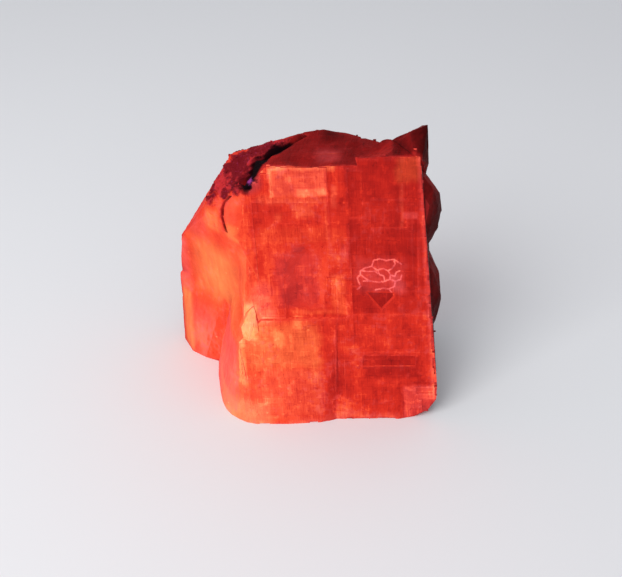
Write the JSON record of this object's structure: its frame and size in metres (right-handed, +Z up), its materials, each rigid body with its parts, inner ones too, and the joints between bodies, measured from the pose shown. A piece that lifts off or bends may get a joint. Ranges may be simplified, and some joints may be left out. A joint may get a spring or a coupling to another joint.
{
  "type": "fluorescent calcite specimen",
  "caption": "Standing cleavage block of orange-red glowing calcite with a leaning flat front, ledges, a smooth break at the left, a dark crust at the top and a stepped back.",
  "frame": {"origin": "on the resting face, at the middle of the block's bounding box", "axes": "+Z up, +Y from the leaning front face towards the back, +X to the right seen from the front"},
  "size_m": [0.055, 0.0364, 0.055],
  "materials": {
    "calcite": "pearly to dull cleavage faces, cloudy, glowing orange-red as under ultraviolet light, with a dark crust on the upper left slope"
  },
  "bodies": {
    "root": {"calcite_block": "calcite"}
  },
  "joints": []
}
